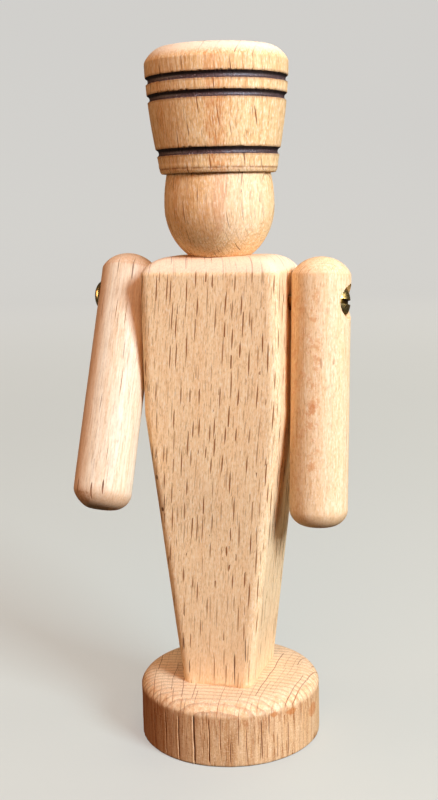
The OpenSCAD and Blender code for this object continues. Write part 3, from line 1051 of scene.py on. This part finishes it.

# Where the wood is charred, where it is scorched, and the upper flank of each groove, which gets painted
# shade
ragged = s.sum("SUBTRACT", s.noise(tree["plain"], 3.2, detail=4.0, rough=0.75), 0.5)
ragged = s.times(ragged, 0.4)
burnt = 0.0
scorched = 0.0
upper = 0.0
for groove_h in groove_heights:
    off_z = s.sum("SUBTRACT", z, brim_z + groove_h)
    far = s.plus(s.sum("ABSOLUTE", off_z), ragged)
    flank = s.times(s.step(off_z, *flank_foot), s.step(off_z, *flank_head))
    burnt = s.sum("MAXIMUM", s.step(far, *burn_edge), burnt)
    scorched = s.sum("MAXIMUM", s.step(far, *scorch_edge), scorched)
    upper = s.sum("MAXIMUM", flank, upper)
scored = s.sum("ABSOLUTE", s.sum("SUBTRACT", z, brim_z + scored_lines[0][0]))
broken = s.step(s.noise(tree["plain"], 0.9, detail=3.0), 0.36, 0.56, start=0.25)
scored = s.times(s.step(scored, *score_edge), broken)
# The scorch, the scored line, and a char that is ashy in places, with a few painted glints on it
colour = s.mix(s.times(scorched, 0.45), colour, paint(124, 64, 26))
colour = s.mix(s.times(scored, 0.7), colour, paint(138, 76, 34))
ashy = s.step(s.noise(tree["plain"], 4.0, detail=3.0, rough=0.7), 0.35, 0.65)
painted_char_glints = s.step(s.noise(tree["plain"], 6.5, detail=1.0), 0.66, 0.74, end=0.7)
char = s.mix(ashy, paint(40, 24, 22), paint(84, 58, 56))
char = s.mix(painted_char_glints, char, paint(205, 186, 180))
# Painted shade on the upper flank of each groove
char = s.mix(upper, char, paint(30, 16, 12))
colour = s.mix(burnt, colour, char)
roughness = s.step(burnt, 0.0, 1.0, start=0.55, end=0.45)
specular = s.step(burnt, 0.0, 1.0, start=0.2, end=0.6)
height = s.plus(height, s.times(s.noise(tree["plain"], 5.0, detail=3.0), burnt))
head.data.materials.append(s.finish(colour, roughness, height, relief_mm, specular=specular))
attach(head, "figure")
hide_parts("head_and_hat")
print("head and hat finished")

# %% [markdown]
# ## The arms
# Both arms are lengths of round rod with a low dome on the shoulder and a rounded hand. Each
# is turned upright about its own screw and then swung forward, so its grain swings with it.
# The seat that was bored for the screw's head has a slightly torn rim.

# %% Turn and bore the arms
arm_r = 4.95
arm_l = 45.0
arm_above = 7.5
arm_dome_h = 3.0
hand_in = 3.1
hand_h = 2.7
seat_r = 2.95
left_seat = 1.0
right_seat = 1.9
left_swing = 23.5
right_swing = 5.0
shank_clear = 0.08
arm_columns = 200
seat_columns = 160
rod_in = 0.04
rod_wave = 0.03
rod_fibre = 0.012
torn_rim_h = 0.07
left_hand_worn = 0.45
below_screw = arm_l - arm_above


def turned_arm(name, side, seat_depth, worn_hand, seed):
    """An upright arm about its screw, with the bore for the shank and the seat for the head."""

    def worn_rod(angle, radius, height):
        slow = rod_wave * ring_waves(angle, height * 0.1, count=10, seed=seed)
        slow = slow + rod_fibre * ring_waves(angle, height * 0.25, count=50, seed=seed + 1)
        hand = soft(-height, below_screw - hand_h - 0.6, below_screw - 0.6)
        hand = hand * soft(-np.cos(angle), 0.0, 1.0)
        return soft(radius, 1.0, 4.0) * (slow - worn_hand * hand) - rod_in

    def torn_rim(angle, radius, height):
        return torn_rim_h * ring_waves(angle, height * 0.8, count=31, seed=seed + 2)

    hand_turns = rounding(hand_in, hand_h, crease_deg=6, steps=16)
    hand = [(arm_r - x, hand_h - below_screw - y) for x, y in hand_turns]
    dome_turns = rounding(arm_r, arm_dome_h, crease_deg=18, steps=22)
    dome = [(arm_r - x, arm_above - arm_dome_h + y) for x, y in dome_turns]
    dome[-1] = (0, arm_above)
    end = filled([(0, -below_screw), hand[-1]], step_mm=0.4)
    shaft = filled([hand[0], dome[0]], step_mm=0.4)
    outline = end[:-1] + hand[::-1][:-1] + shaft + dome[1:]
    arm = turned(name, outline, arm_columns, worn_rod)

    seat_low = arm_r - seat_depth
    seat_high = arm_r + 1
    seat = filled([(0, seat_low), (seat_r, seat_low), (seat_r, seat_high), (0, seat_high)], step_mm=0.25)
    outwards = Euler((0, side * math.pi / 2, 0)).to_matrix()
    seat = laid(turned("cutter", seat, seat_columns, torn_rim), (0, 0, 0), outwards)
    bore = laid(rod(screw_r + shank_clear, -arm_r - 1, arm_r + 1), (0, 0, 0), sideways)
    cut(arm, [seat, bore])
    return arm


def swung(side, height, swing):
    """From an upright arm about its own screw to where it hangs on the figure."""
    to_screw = Matrix.Translation(Vector((side * arm_x, 0, height)) * MM)
    return to_screw @ Matrix.Rotation(-math.radians(swing), 4, "X")


left_arm = turned_arm("turned_left_arm", -1, left_seat, left_hand_worn, seed=41)
left_put = swung(-1, left_screw_z, left_swing)
left_arm.data.transform(left_put)
right_arm = turned_arm("turned_right_arm", 1, right_seat, worn_hand=0.0, seed=51)
right_put = swung(1, right_screw_z, right_swing)
right_arm.data.transform(right_put)
print("arms with", len(left_arm.data.polygons), "and", len(right_arm.data.polygons), "faces")

# %% [markdown]
# The rod is paler and finer than the block. The left arm has a few long dark checks, a scuffed
# hand and painted warm shade on its outer side, and the right one small orange stains down its
# front, where resin came through.

# %% Finish the arms
# Heights above the screw, from and to, where the rounded ends of an arm grow darker, the hand's end with
# painted shade
dome_foot = arm_above - arm_dome_h
hand_end = arm_above - arm_l
dome_darker_span = (dome_foot - 0.2, dome_foot + 0.8)
painted_hand_shade_span = (hand_end + hand_h + 1.2, hand_end + 0.8)
arm_relief_mm = 0.045
arm_roughness = (0.48, 0.6)


def darker_ends_and_hand_shade(s, tree, dome_share):
    """Where the rounded ends of an arm are darker, with a ragged edge, and painted shade lies under the
    hand.
    """
    z = s.split(tree["plain"])[2]
    z = s.plus(z, s.times(s.sum("SUBTRACT", tree["hair"], 0.5), 1.5))
    dome = s.step(z, *dome_darker_span, end=dome_share)
    from_rim = s.sum("ABSOLUTE", s.sum("SUBTRACT", z, dome_foot))
    rim = s.step(from_rim, 0.35, 0.05, end=0.35)
    # Painted shade under the hand
    hand = s.step(z, *painted_hand_shade_span, end=0.6)
    return s.plus(s.plus(dome, rim), hand)


print("an arm ends", -hand_end, "mm below its screw")

# %% Finish the left arm
# Centre and size of each check in mm, and how dark it is
left_checks = [
    ((-0.2, -4.9, 4.0), (0.09, 1.5, 1.6), 0.6), ((2.3, -3.8, 3.4), (0.12, 1.5, 2.2), 0.7),
    ((0.9, -4.8, -6.0), (0.07, 1.5, 1.4), 0.5), ((2.5, -4.2, -11.0), (0.07, 1.5, 1.8), 0.5),
    ((0.0, -4.5, -35.2), (0.17, 1.5, 1.5), 0.9), ((1.9, -4.3, -34.4), (0.16, 1.5, 1.3), 0.9),
    ((-2.8, -3.5, -34.5), (0.16, 1.5, 1.7), 0.8),
]
painted_outer_shade = (-0.5, -4.4)

s, tree, colour, height = beech(
    "left_arm_finish", paint(239, 223, 193), paint(228, 195, 153), paint(128, 66, 30),
    heart_turn=112, heart_away=55.0, big=(2.2, 7.5, 0.06, 3.4, 0.5),
    small=(1.2, 4.0, 0.045, 1.8, 0.4), ring_gap=1.9, ring_tone=0.05, streaks=0.6, specks=0.5,
    seed=5.0, put=left_put)
for centre, size, dark in left_checks:
    check = s.times(spot(s, tree["plain"], centre, size, ragged=0.12), dark)
    colour = s.mix(check, colour, paint(92, 44, 18))
    height = s.sum("SUBTRACT", height, check)
scuffed = spot(s, tree["plain"], (-2.2, -3.6, -36.2), (2.2, 4.0, 1.3), ragged=0.5)
patchy = s.noise(tree["plain"], 1.6, detail=4.0, rough=0.7)
scuffed = s.times(scuffed, s.step(patchy, 0.46, 0.56))
colour = s.mix(s.times(scuffed, 0.6), colour, paint(146, 84, 44))
x = s.split(tree["plain"])[0]
# Painted warm shade on the outer side of the arm
colour = s.mix(s.step(x, *painted_outer_shade, end=0.4), colour, paint(236, 164, 104))
colour = s.mix(darker_ends_and_hand_shade(s, tree, dome_share=0.4), colour, paint(212, 154, 104))
roughness = bare_wood(s, tree, *arm_roughness)
left_arm.data.materials.append(s.finish(colour, roughness, height, arm_relief_mm))
print("left arm finished")

# %% Finish the right arm
# Centre and size of each run of stains in mm, and how dark it is
stain_runs = [
    ((0.0, -4.9, -14.0), (1.3, 1.5, 19.0), 0.45), ((-2.9, -3.6, -16.0), (2.0, 2.5, 24.0), 0.3),
]

s, tree, colour, height = beech(
    "right_arm_finish", paint(246, 214, 169), paint(239, 195, 140), paint(150, 82, 34),
    heart_turn=20, heart_away=55.0, big=(2.6, 7.5, 0.07, 2.6, 0.06),
    small=(1.2, 4.0, 0.05, 1.4, 0.25), ring_gap=2.2, ring_tone=0.04, streaks=0.45, specks=0.9,
    seed=15.0, put=right_put)
blotches = s.step(s.noise(tree["plain"], 0.75, detail=5.0, rough=0.75), 0.5, 0.62)
for centre, size, dark in stain_runs:
    stain = s.times(spot(s, tree["plain"], centre, size, ragged=0.5), blotches)
    colour = s.mix(s.times(stain, dark), colour, paint(214, 128, 62))
stain = spot(s, tree["plain"], (-0.1, -4.9, -17.4), (0.65, 1.5, 0.9), ragged=0.8)
colour = s.mix(s.times(stain, 0.55), colour, paint(206, 118, 54))
colour = s.mix(darker_ends_and_hand_shade(s, tree, dome_share=0.05), colour, paint(214, 160, 106))
roughness = bare_wood(s, tree, *arm_roughness)
right_arm.data.materials.append(s.finish(colour, roughness, height, arm_relief_mm))
for arm, body_name in ((left_arm, "left_arm"), (right_arm, "right_arm")):
    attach(arm, body_name)
    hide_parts(body_name)
print("both arms ride on their own bodies")

# %% [markdown]
# ## The screws
# Each is a round-head wood screw with one slot. The head is a dome over a short rim, the
# shank is plain where the arm turns on it, and the thread below it is a ridge that climbs
# once round for every pitch, so the radius only depends on the angle plus the height.

# %% Turn the screws
screw_l = 16.0
screw_head_r = 2.7
screw_head_h = 1.7
head_rim_h = 0.25
head_edge = 0.1
head_play = 0.1
dome_rows = 24
slot_w = 0.8
slot_depth = 0.8
slot_reach = 4
point_l = 3.0
plain_l = 6.0
thread_pitch = 1.15
thread_depth = 0.42
thread_fade = 0.8
screw_in = 0.01
screw_columns = 96


def thread(angle, radius, height):
    """How far the thread's valleys go in, fading out at the plain shank and the point."""
    climb = (height / thread_pitch - angle / math.tau) % 1.0
    valley = soft(np.abs(climb - 0.5), 0.14, 0.42)
    there = (1 - soft(height, -plain_l - thread_fade, -plain_l)) * soft(radius, 0.3, 1.2)
    return -thread_depth * (1 - valley) * there * np.where(height < 0, 1, 0) - screw_in


def turned_screw(name, side, height, seat_depth, slot_turn):
    """One screw, driven in from its side with its slot at an angle from upright."""
    shank = filled([(0, -screw_l), (screw_r, point_l - screw_l), (screw_r, 0)], step_mm=0.09)
    dome = []
    for i in range(dome_rows):
        t = math.pi / 2 * i / dome_rows
        r = screw_head_r * math.cos(t)
        dome.append((r, head_rim_h + (screw_head_h - head_rim_h) * math.sin(t)))
    dome.append((0, screw_head_h))
    edge_in = screw_head_r - head_edge
    rim = filled([(screw_r, 0), (edge_in, 0), (screw_head_r, head_edge), dome[0]], step_mm=0.1)
    screw = turned(name, shank + rim[1:] + dome[1:], screw_columns, thread)

    half_w = slot_w / 2
    slot_low = screw_head_h - slot_depth
    slot_high = screw_head_h + 1.0
    corners = [(-slot_reach, -half_w), (slot_reach, -half_w), (slot_reach, half_w), (-slot_reach, half_w)]
    block = np.array([[(x, y, z) for x, y in corners] for z in (slot_low, slot_high)])
    cut(screw, [skin("cutter", block, (0, 0, slot_low), (0, 0, slot_high))])

    place = (side * (arm_x + arm_r - seat_depth + head_play), 0, height)
    way_in = Matrix.Rotation(side * math.pi / 2, 4, "Y")
    driven = way_in @ Matrix.Rotation(math.radians(slot_turn), 4, "Z")
    put = Matrix.Translation(Vector(place) * MM) @ driven
    screw.data.transform(put)
    return screw, put


# The left screw goes this much deeper than its seat says, to stay inside the construction box
left_deeper = 0.01
left_screw, left_driven = turned_screw(
    "left_brass_screw", -1, left_screw_z, left_seat + left_deeper, slot_turn=35)
right_screw, right_driven = turned_screw(
    "right_brass_screw", 1, right_screw_z, right_seat, slot_turn=80)
print("screws with", len(left_screw.data.polygons), "faces each")

# %% [markdown]
# Brass is a metal, so its colour lives in its reflections. Fine scratches from the driver
# roughen it, and brown tarnish gathers at the rim and in the slot, where no hand rubs it off.

# %% Finish the screws
slot_edge = (slot_w / 2 + 0.04, slot_w / 2)
slot_mouth = (screw_head_h - 0.1, screw_head_h - 0.3)
rim_tarnish = (0.62, 0.5)
brass_relief_mm = 0.02
driver_turn = 0.6


def brass(name, put):
    """The finish of one screw, which was made along +Z and then put in its place."""
    s = Finish(name)
    at_mm = own_place(s, put)
    _, y, z = s.split(at_mm)
    cloudy = s.noise(at_mm, 1.6, detail=4.0, rough=0.65)
    brushed = s.add("Mapping", {
        "Vector": at_mm, "Rotation": (0, 0, driver_turn), "Scale": (0.6, 14.0, 14.0)})
    scratches = s.noise(brushed, 1.0)
    shank = s.step(z, 0.1, 0.0)
    low = s.step(s.plus(z, s.times(cloudy, 0.5)), *rim_tarnish)
    # Patches of tarnish, which also paint in dark reflections on the brass
    tarnish_and_reflection_patches = s.step(s.noise(at_mm, 1.1, detail=4.0, rough=0.6), 0.5, 0.56)
    in_slot = s.times(s.step(s.sum("ABSOLUTE", y), *slot_edge), s.step(z, *slot_mouth))
    tarnish_and_dark_reflection = s.sum("MAXIMUM", s.sum("MAXIMUM", in_slot, low), s.times(tarnish_and_reflection_patches, 0.4))
    colour = s.mix(cloudy, paint(252, 230, 164), paint(242, 208, 128))
    colour = s.mix(tarnish_and_dark_reflection, colour, paint(104, 78, 36))
    colour = s.mix(shank, colour, paint(150, 104, 52))
    s.shader.inputs["Metallic"].default_value = 1.0
    roughness = s.step(scratches, 0.35, 0.7, start=0.2, end=0.36)
    roughness = s.plus(roughness, s.times(tarnish_and_dark_reflection, 0.2))
    height = s.plus(scratches, s.times(cloudy, 0.5))
    return s.finish(colour, roughness, height, brass_relief_mm, specular=0.5)


screws = (
    (left_screw, "left_arm_screw", left_driven), (right_screw, "right_arm_screw", right_driven))
for screw, node, put in screws:
    screw.data.materials.append(brass(screw.name + "_finish", put))
    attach(screw, "figure")
    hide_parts(node)
print("screws finished")

# %% [markdown]
# ## The dowels
# Two beech dowels hide inside and hold the base and the head to the body. Their shape is
# right as it is, so they keep the frame's own mesh and only get a wood finish.

# %% Finish the hidden dowels
s, tree, colour, height = beech(
    "dowel_finish", paint(240, 208, 164), paint(222, 178, 126), paint(140, 84, 44),
    heart_turn=0, heart_away=50.0, seed=25.0)
roughness = bare_wood(s, tree, smooth=0.55, rough=0.7)
dowel_wood = s.finish(colour, roughness, height, relief_mm)
for node in ("foot_dowel", "neck_dowel"):
    dowel = frame["nodes"][node]
    if not dowel.material_slots:
        dowel.data.materials.append(dowel_wood)
    for slot in dowel.material_slots:
        slot.material = dowel_wood
print("dowels finished")
